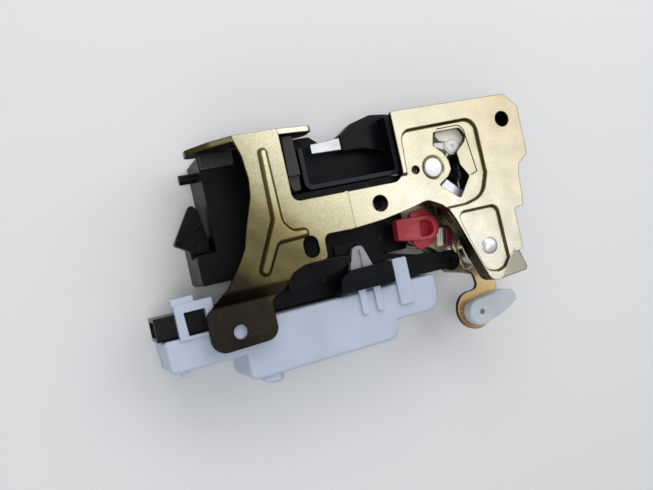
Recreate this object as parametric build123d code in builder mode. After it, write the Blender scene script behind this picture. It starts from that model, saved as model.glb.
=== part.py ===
# Side-door latch with its power-lock actuator: a pressed face plate, the claw and
# pawl behind its mouth, two release levers, and a white actuator box on the tab.
# X runs along the plate, Y towards the mouth, Z out of the face plate.
# The origin is the middle screw hole, on the front face of the plate. Millimetres.

from build123d import *
from math import atan2, cos, degrees, pi, radians, sin
import os

os.makedirs("parts", exist_ok=True)

# ---------------------------------------------------------------- driving dimensions
sheet = 2.0              # thickness of the face plate's steel
edge_sheet = 1.6         # its turned-down edges are drawn a little thinner
border_rise = 1.5        # the border stands this far proud of the panels
panel_lean = 1.0         # the walls between them lean out by this much
left_rise = 0.8          # the left arm stands this far proud of the middle
tab_drop = 5.0           # the tab lies this far behind the left arm
rib_rise = 1.6           # height of the pressed Y rib
screw_r = 3.0            # M6 screw holes, drawn at the thread's major diameter
screw_boss_r = 4.6       # collar drawn out of the sheet round a screw hole
screw_boss = 3.0         # length of that collar below the sheet
flange_deep = 16.0       # depth of the flanges behind the plate

run_gap = 0.05           # radial clearance of a pivot in its hole
slide_gap = 0.3          # clearance between faces that slide past each other

claw_thick = 4.0         # steel of the claw and of the pawl
claw_top = -9.5          # their front face
lever_thick = 1.8        # steel of the two release levers
release_top = -15.9      # front face of the outer release lever
back_thick = 1.6         # steel of the back plate
skin = 1.8               # wall of the black housing
white_wall = 2.0         # wall of the white actuator box

claw_pivot = (24.2, 9.1)         # big rivet
pawl_pivot = (40.5, -23.9)       # small domed rivet
claw_rivet_r = 3.0               # shank of the big rivet
pawl_rivet_r = 2.6               # shank of the small rivet

# levels that follow from the sizes above
claw_low = claw_top - claw_thick
inside_top = release_top - lever_thick - 0.2
back_top = inside_top - lever_thick - 0.6
back_low = back_top - back_thick
panel_low = -sheet


def outline(*corners, mode=Mode.ADD):
    """Draw one closed face from (x, y, corner radius) triples."""
    with BuildLine() as edge:
        FilletPolyline([(x, y) for x, y, r in corners],
                       radius=[r for x, y, r in corners], close=True)
    make_face(edge.edges(), mode=mode)


def around(centre, radius, angle):
    """The point at a radius and an angle in degrees about a centre."""
    return (centre[0] + radius * cos(radians(angle)), centre[1] + radius * sin(radians(angle)))


def finish(piece, name):
    """Label a finished piece and write its STEP file."""
    piece.part.label = name
    export_step(piece.part, "parts/" + name + ".step")


# ---------------------------------------------------------------- face plate
mouth_floor = 6.4        # lower edge of the mouth
mouth_right = 10.9       # right edge of the mouth
mouth_left = -32.3       # left edge of the mouth
plate_top = 31.9         # top edge of the plate
step_x = -12.2           # the small step between the left arm and the middle
tab_bend = (-19.0, -23.5)        # Y where the joggle leaves the arm and meets the tab
tab_hole = (-58.6, -32.9)
tab_hole_r = 2.5
right_screw = (57.0, 22.4)
slot_hole = (-29.3, -10.0)
slot_size = (7.7, 5.5)
arm_top_y = 32.3         # outer face of the top flange
flange_x = (-62.5, -18.5)        # ends of the top flange
side_flange_x = 54.0     # outer face of the side flange
side_flange_y = (-27.4, -13.0)   # its ends

swage_r = 4.7            # shallow dish pressed round the big rivet
swage_deep = 0.9
rivet_head_r = 3.4       # head of the big rivet, nearly flush in its dish
rivet_head = 1.1
ball_hole = (16.8, 9.4)  # small drain hole beside the big rivet
ball_hole_r = 1.6

right_outline = [
    (step_x, mouth_floor, 0), (mouth_right, mouth_floor, 3.6), (mouth_right, plate_top, 0.8),
    (60.0, plate_top, 0.8), (65.0, 26.4, 0.8), (65.0, 7.6, 2.5), (60.2, 4.2, 2.2),
    (59.4, 1.0, 1.5), (58.2, -11.8, 0.8), (side_flange_x, -12.2, 0.4),
    (side_flange_x, side_flange_y[0], 0.6), (52.4, -28.3, 0.3), (49.6, -28.4, 0), (42.2, -37.2, 0),
    (37.6, -37.2, 4.0), (28.2, -11.5, 3.5), (25.2, -5.4, 4.0), (19.0, -2.3, 4.0),
    (10.0, -4.3, 8.0), (0.0, -5.9, 8.0), (step_x, -6.9, 0),
]
left_outline = [
    (step_x, mouth_floor, 0), (mouth_left, mouth_floor, 3.0), (mouth_left, arm_top_y, 1.0),
    (-48.8, arm_top_y, 0.5), (-46.6, 25.0, 4.0), (-45.9, 17.0, 12.0), (-46.6, 11.0, 12.0),
    (-50.2, 1.0, 12.0), (-52.3, -6.0, 6.0), (-54.8, -10.0, 5.0), (-60.4, -17.6, 3.0),
    (-64.2, -20.4, 2.0), (-69.0, -25.4, 3.0), (-69.2, -38.9, 5.0), (-45.6, -38.0, 4.5),
    (-45.6, -24.8, 2.0), (-41.2, -22.3, 2.0), (-38.0, -17.4, 3.5), (-33.0, -15.6, 3.0),
    (-24.2, -15.2, 1.6), (-23.9, -6.7, 2.4), (step_x, -6.9, 0),
]
panel_outline = [
    (step_x - 0.2, -14.0, 0), (step_x - 0.2, 8.0, 0), (mouth_right + 2.3, 8.0, 0),
    (mouth_right + 3.1, 23.6, 3.2), (44.4, 24.2, 4.2), (44.6, 3.5, 1.0), (41.4, -4.4, 7.0),
    (34.0, -6.2, 4.0), (24.0, -6.3, 1.0), (18.0, -14.0, 0),
]
lever_panel = [
    (29.9, -9.9, 1.8), (46.2, -9.9, 2.4), (46.6, -31.6, 3.0), (41.5, -33.6, 4.0),
    (37.0, -32.2, 3.0),
]
window_outline = [
    (26.0, 17.2, 0.8), (27.3, 21.9, 0.8), (38.9, 22.1, 2.2), (40.6, 18.6, 1.0),
    (39.4, 16.4, 1.0), (35.3, 13.2, 1.2), (35.7, 8.2, 1.2), (38.6, 3.5, 0.8),
    (32.9, -4.2, 0.8), (25.1, 2.2, 0.6), (29.6, 4.8, 1.2), (31.4, 7.2, 1.2),
    (31.2, 10.6, 1.4), (29.4, 13.8, 1.4),
]
rib_outline = [
    (-41.0, 26.2, 1.6), (-37.6, 26.8, 1.6), (-37.2, 0.6, 3.6), (-34.6, -2.7, 3.0),
    (-29.4, -2.9, 1.8), (-29.0, -6.3, 1.4), (-40.4, -6.8, 1.6), (-45.8, -16.6, 2.2),
    (-50.4, -16.2, 2.2), (-41.4, 2.0, 3.0),
]

edge_flange = 5.5        # depth of the flange along the inner arch and the foot
edge_flange_run = [      # the stretch of the plate's edge that is turned down
    (17.5, -1.0, 0), (26.8, -2.0, 0), (32.6, -12.0, 0), (40.2, -33.8, 0), (43.6, -34.6, 0),
    (41.6, -39.0, 0), (34.0, -39.0, 0), (25.0, -12.0, 0), (22.0, -7.0, 0), (17.5, -4.6, 0),
]
tail_fold = ((49.6, -28.4), (42.2, -37.2))       # the foot's tail bends down along this line
tail_tilt = 20.0
tail_outline = [         # the tail, from the middle of its fold: along it and away from it
    (-7.0, -0.6, 0), (-7.9, 2.0, 0.4), (-4.4, 11.6, 1.2), (6.0, -0.6, 0),
]

arm_sheet = [   # the left arm's sheet seen from the side: Y, Z, bend radius
    (arm_top_y + 1, left_rise, 0), (tab_bend[0], left_rise, 1.6),
    (tab_bend[1], left_rise - tab_drop, 1.2), (-42.0, left_rise - tab_drop, 0),
    (-42.0, left_rise - tab_drop - sheet, 0),
    (tab_bend[1] - 1.3, left_rise - tab_drop - sheet, 2.2),
    (tab_bend[0] - 1.3, left_rise - sheet, 0.6), (arm_top_y + 1, left_rise - sheet, 0),
]

with BuildPart() as left_arm:
    with BuildSketch(Plane.YZ.offset(-72.0)):
        outline(*arm_sheet)
    extrude(amount=72.0 + step_x)
    with BuildSketch(Plane.XY.offset(-12.0)):
        outline(*left_outline)
    extrude(amount=16.0, mode=Mode.INTERSECT)
    with BuildSketch(Plane.XY.offset(left_rise)):        # the pressed rib, drafted sides
        outline(*rib_outline)
    extrude(amount=rib_rise)
    chamfer(left_arm.faces().sort_by(Axis.Z)[-1].edges(), rib_rise * 0.75)
    with BuildSketch(Plane.XY.offset(left_rise - sheet)):        # and its hollow back
        outline(*rib_outline)
        offset(amount=-1.1, mode=Mode.REPLACE)
    extrude(amount=rib_rise * 0.9, mode=Mode.SUBTRACT)

with BuildPart() as top_flange:
    with BuildSketch(Plane.XZ.offset(-arm_top_y)):
        outline((-48.6, left_rise - 0.4, 0.5), (mouth_left, left_rise - 0.4, 0.5),
                (-26.0, -1.0, 4.0), (flange_x[1], -3.2, 2.5), (flange_x[1], -14.0, 5.0),
                (-30.0, -flange_deep, 3.0), (-50.0, -flange_deep - 4, 6.0),
                (flange_x[0], -flange_deep - 7, 4.0), (flange_x[0], -14.0, 4.5),
                (-56.0, -5.0, 6.0))
    extrude(amount=sheet)

with BuildSketch() as kept_panels:       # the panels and the walls round them
    outline(*panel_outline)
    outline(*lever_panel)
    offset(amount=1.6, mode=Mode.REPLACE)

with BuildPart() as face_plate:
    with BuildSketch(Plane.XY.offset(-sheet)):
        outline(*right_outline)
    extrude(amount=sheet + border_rise)
    with BuildSketch(Plane.XY):          # panels lie on the middle level
        outline(*panel_outline)
        outline(*lever_panel)
    extrude(amount=border_rise + 1, mode=Mode.SUBTRACT)
    for panel in (panel_outline, lever_panel):           # the pressed walls lean outwards
        with BuildSketch(Plane.XY):
            outline(*panel)
        extrude(amount=border_rise, taper=-degrees(atan2(panel_lean, border_rise)),
                mode=Mode.SUBTRACT)
    with BuildSketch(Plane.XY.offset(-sheet)):           # the border is one sheet thick
        outline(*right_outline)
        offset(amount=3.0, mode=Mode.REPLACE)
        add(kept_panels.sketch, mode=Mode.SUBTRACT)
    extrude(amount=border_rise, mode=Mode.SUBTRACT)
    add(left_arm.part)
    with BuildSketch(Plane.XY.offset(left_rise)):        # ramp of the step
        with Locations((step_x, 0)):
            Rectangle(1.2, 13.3)
    extrude(amount=-left_rise - sheet / 2)
    add(top_flange.part)
    with BuildSketch(Plane.YZ.offset(side_flange_x - sheet)):
        outline((side_flange_y[0], border_rise - 0.5, 0), (side_flange_y[1], border_rise - 0.5, 0),
                (side_flange_y[1], -flange_deep, 2.0), (side_flange_y[0], -flange_deep, 2.0))
    extrude(amount=sheet)
    with BuildSketch(Plane.XY.offset(-edge_flange)):     # flange along the inner arch
        outline(*right_outline)
        with BuildLine() as inner_edge:
            FilletPolyline([(x, y) for x, y, r in right_outline],
                           radius=[r for x, y, r in right_outline], close=True)
            offset(amount=-edge_sheet, mode=Mode.REPLACE)
        make_face(inner_edge.edges(), mode=Mode.SUBTRACT)
        outline(*edge_flange_run, mode=Mode.INTERSECT)
    extrude(amount=edge_flange - sheet / 2)
    fold_mid = (Vector(*tail_fold[0]) + Vector(*tail_fold[1])) / 2
    fold_along = (Vector(*tail_fold[1]) - Vector(*tail_fold[0])).normalized()
    with BuildSketch(Plane(origin=(fold_mid.X, fold_mid.Y, border_rise), x_dir=fold_along,
                           z_dir=(-fold_along.Y * sin(radians(tail_tilt)),
                                  fold_along.X * sin(radians(tail_tilt)), cos(radians(tail_tilt))))):
        outline(*tail_outline)
    extrude(amount=-sheet)
    with Locations((0, 0, -sheet), (*right_screw, border_rise - sheet)):
        Cylinder(screw_boss_r, screw_boss, align=(Align.CENTER, Align.CENTER, Align.MAX))
    with Locations((0, 0, 0), (*right_screw, 0)):
        Cylinder(screw_r, 20, mode=Mode.SUBTRACT)
    with BuildSketch(Plane.XY.offset(-10.0)):
        with Locations((*slot_hole, 0)):
            SlotOverall(slot_size[0], slot_size[1], rotation=90)
        with Locations((*tab_hole, 0)):
            Circle(tab_hole_r)
        outline(*window_outline)
    extrude(amount=20, mode=Mode.SUBTRACT)
    with Locations((*claw_pivot, 0)):
        Cylinder(claw_rivet_r, 20, mode=Mode.SUBTRACT)
        Cone(rivet_head_r + 0.1, swage_r, swage_deep, mode=Mode.SUBTRACT,
             align=(Align.CENTER, Align.CENTER, Align.MAX))
    with Locations((*pawl_pivot, 0)):
        Cylinder(pawl_rivet_r, 20, mode=Mode.SUBTRACT)
    with Locations((*ball_hole, 0)):
        Cylinder(ball_hole_r, 20, mode=Mode.SUBTRACT)
finish(face_plate, "face_plate")


# ---------------------------------------------------------------- claw, its rivet and stop
tail_head = 1.4          # riveted end behind the back plate
claw_arm_low = 22.9      # lower edge of the arm that closes the mouth
lobe_r = 17.5            # reach of the lobe that the pawl holds
lobe_face = 12.0         # angle of the face that the pawl holds
boss_at = around(claw_pivot, 13.6, 30.5)
boss_r = 3.1
boss_top = -3.2
floor_top = claw_low - slide_gap
floor_low = floor_top - skin

claw_outline = [
    (-18.2, claw_arm_low, 0.6), (-18.2, 26.4, 0.6), (-6.0, 27.2, 4.0), (-0.8, 30.8, 4.0),
    (7.5, 33.0, 6.0), (14.5, 32.2, 6.0), (23.0, 27.6, 4.0),
    (*around(claw_pivot, lobe_r + 0.8, 66), 3.0), (*around(claw_pivot, lobe_r + 0.8, 36), 8.0),
    (*around(claw_pivot, lobe_r, lobe_face), 0.8), (*around(claw_pivot, 8.2, lobe_face), 1.2),
    (30.2, 7.6, 2.0), (29.0, 4.6, 3.5), (23.5, 2.4, 4.0), (16.0, 3.4, 3.0), (3.2, 4.3, 0.8),
    (2.4, 8.7, 1.0), (11.0, 8.9, 1.5), (13.8, 12.5, 3.0), (11.2, 19.8, 3.0), (2.0, 22.4, 4.0),
]

with BuildPart() as claw:
    with BuildSketch(Plane.XY.offset(claw_low)):
        outline(*claw_outline)
        with Locations((*claw_pivot, 0)):
            Circle(claw_rivet_r + run_gap, mode=Mode.SUBTRACT)
        with Locations((*boss_at, 0)):
            Circle(boss_r - 1.2, mode=Mode.SUBTRACT)
    extrude(amount=claw_thick)
    chamfer(claw.faces().sort_by(Axis.Z)[-1].outer_wire().edges(), 0.25)
finish(claw, "claw")

overmould = 0.8          # black rubbery coat on the arm that meets the striker
coat_outline = [
    (-6.4, 20.5, 0), (-6.4, 36.0, 0), (17.0, 36.0, 0), (17.0, 15.5, 0), (8.0, 15.5, 0),
]
with BuildPart() as claw_overmould:
    with BuildSketch(Plane.XY.offset(claw_low)):
        outline(*claw_outline)
        offset(amount=overmould, mode=Mode.REPLACE)
        outline(*coat_outline, mode=Mode.INTERSECT)
    extrude(amount=claw_thick + overmould)
    fillet(claw_overmould.faces().sort_by(Axis.Z)[-1].edges(), 0.6)
    with BuildSketch(Plane.XY.offset(claw_low)):
        outline(*claw_outline)
    extrude(amount=claw_thick, mode=Mode.SUBTRACT)
finish(claw_overmould, "claw_overmould")

wing_outline = [
    (28.8, 18.4, 0.6), (28.5, 16.9, 0.6), (33.0, 15.0, 0.3), (38.0, 14.2, 0.3), (40.8, 15.2, 0.8),
    (42.2, 17.0, 0.8), (40.7, 18.8, 0.8), (36.5, 18.9, 0.8), (32.8, 17.9, 0.5),
]
with BuildPart() as claw_boss:           # white roller that carries the spring's leg
    with BuildSketch(Plane.XY.offset(claw_low)):
        with Locations((*boss_at, 0)):
            Circle(boss_r - 1.2)
    extrude(amount=claw_thick)
    with BuildSketch(Plane.XY.offset(claw_top)):
        with Locations((*boss_at, 0)):
            Circle(boss_r)
    extrude(amount=boss_top - claw_top)
    chamfer(claw_boss.faces().sort_by(Axis.Z)[-1].edges(), 0.5)
    with Locations((*boss_at, boss_top)):
        Cylinder(0.7, 0.8)
    with BuildSketch(Plane.XY.offset(boss_top - 2.2)):   # its two guide wings
        outline(*wing_outline)
    extrude(amount=1.6)
finish(claw_boss, "claw_boss")


def rivet(centre, shank_r, head_r, head, dome, top, bottom):
    """A headed pin about Z: a head with a domed or flat top, and a riveted tail."""
    rim_z = top + head - dome
    ball_r = (head_r ** 2 + dome ** 2) / (2 * dome)      # the dome is part of a ball
    ball_z = top + head - ball_r
    with BuildPart() as pin:
        with BuildSketch(Plane.XZ):
            with BuildLine():
                Polyline((0, bottom - tail_head), (shank_r + 1.0, bottom - tail_head),
                         (shank_r + 1.2, bottom), (shank_r, bottom), (shank_r, top),
                         (head_r, top), (head_r, rim_z))
                ThreePointArc((head_r, rim_z),
                              (head_r / 2, ball_z + (ball_r ** 2 - head_r ** 2 / 4) ** 0.5),
                              (0, top + head))
                Line((0, top + head), (0, bottom - tail_head))
            make_face()
        revolve(axis=Axis.Z)
    return Pos(centre[0], centre[1], 0) * pin.part


with BuildPart() as claw_rivet:
    add(rivet(claw_pivot, claw_rivet_r, rivet_head_r, rivet_head, 0.2, -swage_deep, back_low))
finish(claw_rivet, "claw_rivet")

with BuildPart() as pawl_rivet:
    add(rivet(pawl_pivot, pawl_rivet_r, 3.2, 2.3, 1.7, 0, back_low))
finish(pawl_rivet, "pawl_rivet")

stop_top = -4.0          # the claw's open stop, seen in the window
with BuildPart() as claw_stop:
    with BuildSketch(Plane.XY.offset(floor_top)):
        outline((27.6, 2.0, 0.5), (31.2, 4.2, 0.5), (37.4, -1.9, 0.5), (34.2, -4.6, 0.5))
    extrude(amount=stop_top - floor_top)
    chamfer(claw_stop.faces().sort_by(Axis.Z)[-1].edges(), 0.3)
finish(claw_stop, "claw_stop")

# ---------------------------------------------------------------- pawl
pawl_outline = [
    (40.3, 9.9, 0.5), (45.2, 9.5, 1.4), (45.8, -5.0, 8.0), (46.9, -21.0, 6.0),
    (45.0, -30.4, 5.0), (36.4, -30.4, 5.0), (34.2, -23.0, 5.0), (37.6, -16.0, 5.0),
    (39.0, -8.0, 4.0), (38.7, 3.0, 1.5), (40.2, 4.6, 1.0),
]
with BuildPart() as pawl:
    with BuildSketch(Plane.XY.offset(claw_low)):
        outline(*pawl_outline)
        with Locations((*pawl_pivot, 0)):
            Circle(pawl_rivet_r + run_gap, mode=Mode.SUBTRACT)
    extrude(amount=claw_thick)
    chamfer(pawl.faces().sort_by(Axis.Z)[-1].outer_wire().edges(), 0.25)
finish(pawl, "pawl")

spacer_r = 5.0
with BuildPart() as pawl_spacer:         # bush between the pawl and the release lever
    with BuildSketch(Plane.XY.offset(release_top + 0.1)):
        with Locations((*pawl_pivot, 0)):
            Circle(spacer_r)
            Circle(pawl_rivet_r, mode=Mode.SUBTRACT)
    extrude(amount=claw_low - release_top - 0.2)
finish(pawl_spacer, "pawl_spacer")


def torsion_spring(centre, coil_r, wire_r, low, high, turns, leg_end, foot_end):
    """A wire coil about Z, with a straight leg at its top and one at its bottom."""
    pitch = (high - low) / turns
    with BuildPart() as spring:
        with BuildLine() as coil:
            Helix(pitch=pitch, height=high - low, radius=coil_r)
        with BuildSketch(Plane(origin=coil.line @ 0, z_dir=coil.line % 0)):
            Circle(wire_r)
        sweep(path=coil.line, is_frenet=True)
        for where, end in ((1, leg_end), (0, foot_end)):
            start = coil.line @ where
            stop = Vector(end[0] - centre[0], end[1] - centre[1], start.Z)
            with BuildSketch(Plane(origin=start, z_dir=stop - start)):
                Circle(wire_r * 0.98)
            extrude(amount=(stop - start).length)
    return Pos(centre[0], centre[1], low) * spring.part


with BuildPart() as claw_spring:
    add(torsion_spring(claw_pivot, 5.0, 0.7, claw_top + 1.0, panel_low - 1.0, 3.0,
                       (33.0, 13.5), (33.4, 6.0)))
finish(claw_spring, "claw_spring")

with BuildPart() as pawl_spring:
    add(torsion_spring(pawl_pivot, 4.0, 0.5, claw_top + 0.8, panel_low - 1.2, 3.0,
                       (49.0, -20.0), (43.5, -8.0)))
finish(pawl_spring, "pawl_spring")

# ---------------------------------------------------------------- back plate
back_outline = [
    (14.0, 31.0, 1.0), (51.8, 31.0, 1.0), (51.8, 17.0, 2.0), (57.6, 13.0, 2.0),
    (57.6, -8.5, 2.0), (side_flange_x - sheet, -12.5, 1.0), (side_flange_x - sheet, -33.5, 2.0),
    (45.0, -35.5, 2.0), (37.0, -33.0, 3.0), (31.0, -31.5, 2.0), (23.0, -20.6, 3.0),
    (8.0, -15.5, 3.0), (6.0, -5.0, 2.0), (14.0, -1.0, 2.0),
]
with BuildPart() as back_plate:
    with BuildSketch(Plane.XY.offset(back_low)):
        outline(*back_outline)
        with Locations((*claw_pivot, 0)):
            Circle(claw_rivet_r, mode=Mode.SUBTRACT)
        with Locations((*pawl_pivot, 0)):
            Circle(pawl_rivet_r, mode=Mode.SUBTRACT)
    extrude(amount=back_thick)
finish(back_plate, "back_plate")

# ---------------------------------------------------------------- release levers and rod clips
release_eye = (19.7, -12.6)      # where the red rod clip snaps in
inside_eye = (39.0, -49.5)       # where the white rod clip snaps in
eye_r = 2.0                      # hole of a lever's eye
release_outline = [
    (46.6, -18.6, 4.0), (40.5, -17.0, 5.0), (27.5, -9.6, 8.0), (20.5, -7.2, 4.6),
    (14.4, -9.8, 4.6), (15.2, -17.6, 4.6), (24.5, -20.2, 8.0), (33.6, -29.0, 5.0),
    (40.0, -31.2, 5.0), (47.4, -28.0, 5.0),
]
inside_outline = [
    (46.0, -17.4, 4.0), (35.4, -17.8, 4.5), (34.0, -27.6, 4.5), (41.6, -34.4, 4.0),
    (42.6, -40.6, 2.5), (33.0, -41.2, 6.5), (30.2, -50.6, 8.0), (37.2, -58.0, 8.0),
    (46.8, -54.0, 7.5), (47.2, -45.4, 3.0), (51.0, -42.4, 2.5), (51.4, -35.0, 3.0), (47.6, -28.0, 4.0),
]


def lever(profile, top, eye):
    """A flat lever blank with its pivot hole and the eye for a rod clip."""
    with BuildPart() as blank:
        with BuildSketch(Plane.XY.offset(top - lever_thick)):
            outline(*profile)
            with Locations((*pawl_pivot, 0)):
                Circle(pawl_rivet_r + run_gap, mode=Mode.SUBTRACT)
            with Locations((*eye, 0)):
                Circle(eye_r + run_gap, mode=Mode.SUBTRACT)
        extrude(amount=lever_thick)
        chamfer(blank.faces().sort_by(Axis.Z)[-1].outer_wire().edges(), 0.2)
    return blank.part


with BuildPart() as release_lever:
    add(lever(release_outline, release_top, release_eye))
finish(release_lever, "release_lever")

with BuildPart() as inside_lever:
    add(lever(inside_outline, inside_top, inside_eye))
finish(inside_lever, "inside_lever")

red_top = -8.0           # front face of the red clip
with BuildPart() as release_clip:
    with BuildSketch(Plane.XY.offset(release_top + 0.1)):
        with Locations((*release_eye, 0)):
            Circle(4.8)
        outline((6.8, -8.2, 0.6), (19.7, -8.0, 0.5), (19.7, -17.2, 0.5), (6.4, -16.0, 0.6))
    extrude(amount=red_top - release_top - 0.1)
    with BuildSketch(Plane.XY.offset(red_top - 3.2)):
        outline((13.0, -6.0, 1.2), (18.0, -5.6, 1.5), (20.6, -8.5, 0.5), (20.6, -17.0, 0.5),
                (19.6, -20.4, 1.5), (14.4, -20.0, 1.8), (12.2, -16.5, 0.5), (12.2, -8.5, 0.5))
    extrude(amount=2.2)
    with BuildSketch(Plane.XY.offset(red_top - 5.0)):
        with Locations((*release_eye, 0)):
            RectangleRounded(4.4, 5.2, 1.2)
    extrude(amount=6, mode=Mode.SUBTRACT)
    with BuildSketch(Plane.XY.offset(red_top - 0.7)):
        outline((5.0, -7.5, 0), (8.6, -7.5, 0), (8.6, -17.0, 0), (5.0, -17.0, 0))
    extrude(amount=2, mode=Mode.SUBTRACT)
    with BuildSketch(Plane.XY.offset(release_top - lever_thick - 0.1)):
        with Locations((*release_eye, 0)):
            Circle(eye_r)
    extrude(amount=lever_thick + 0.3)
finish(release_clip, "release_clip")

white_top = inside_top + 5.2
with BuildPart() as inside_clip:
    with BuildSketch(Plane.XY.offset(inside_top + 0.1)):
        with Locations((*inside_eye, 0)):
            Circle(5.4)
        outline((38.0, -44.3, 0.5), (49.5, -42.6, 3.0), (55.6, -44.2, 1.7), (56.2, -48.4, 1.8),
                (48.0, -52.4, 4.0), (38.6, -54.7, 0.5))
    extrude(amount=white_top - inside_top - 0.1)
    fillet(inside_clip.faces().sort_by(Axis.Z)[-1].outer_wire().edges(), 1.0)
    with Locations((*inside_eye, white_top)):
        Cylinder(1.1, 6, mode=Mode.SUBTRACT)
    with BuildSketch(Plane.XY.offset(inside_top - lever_thick - 0.1)):
        with Locations((*inside_eye, 0)):
            Circle(eye_r)
    extrude(amount=lever_thick + 0.3)
finish(inside_clip, "inside_clip")

# ---------------------------------------------------------------- black housing
knob_pivot = (-62.4, -1.4)       # black lever for the door's lock knob
knob_top = -22.0
knob_thick = 3.5
knob_pin_r = 1.5
housing_low = -38.0      # the housing's back, on which the latch can lie
left_top = -14.0         # front face of the left block
lower_top = -16.0        # front face of the lower body, behind the lock slide
left_block = [
    (-58.8, 29.8, 1.0), (mouth_left + 1.5, 29.8, 0.5), (mouth_left + 1.5, -5.0, 0),
    (-44.0, -5.0, 0), (-44.0, -15.4, 1.0), (-66.2, -15.4, 1.5), (-66.2, -4.6, 1.5), (-58.8, -4.6, 0.8),
]
lower_body = [
    (-44.5, -4.0, 0), (3.0, -4.0, 1.0), (3.0, -18.0, 1.0),
    (21.0, -22.4, 0.5), (21.0, -24.4, 0.5), (2.6, -24.4, 1.0), (2.6, -29.4, 1.0),
    (0.2, -29.4, 0.5), (0.2, -27.0, 2.0), (-15.2, -27.0, 2.0), (-15.2, -29.4, 0.5), (-44.5, -29.4, 1.0),
]
ear_at = (29.9, -26.7)   # black ear beside the arch
ear_r = 4.0
ear_top = -12.6
peg_at = (23.6, -24.0)   # Y and Z of the side peg
peg_r = 1.8
peg_long = 7.4
floor_outline = [
    (mouth_left, 30.0, 1.0), (-16.5, 30.0, 1.5), (-12.0, 26.0, 2.0), (6.0, 26.0, 2.0),
    (12.0, 31.0, 1.5), (51.4, 31.0, 1.0), (51.4, 16.4, 1.5), (57.4, 12.6, 1.5), (57.4, -8.3, 1.5),
    (54.0, -10.2, 1.5), (30.0, -8.6, 1.5), (28.4, 0.8, 1.5), (13.6, 0.8, 0.5), (13.6, -1.4, 0.5),
    (1.0, -1.4, 0), (1.0, -4.6, 0), (mouth_left, -4.6, 0),
]
mid_block = [
    (mouth_left - 10, 8.4, 0), (-1.5, 8.4, 0.5), (-1.5, 3.6, 0.8), (12.4, 2.6, 0.8), (12.4, -1.6, 0.8),
    (1.0, -1.6, 0), (1.0, -4.6, 0), (mouth_left - 10, -4.6, 0),
]

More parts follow.
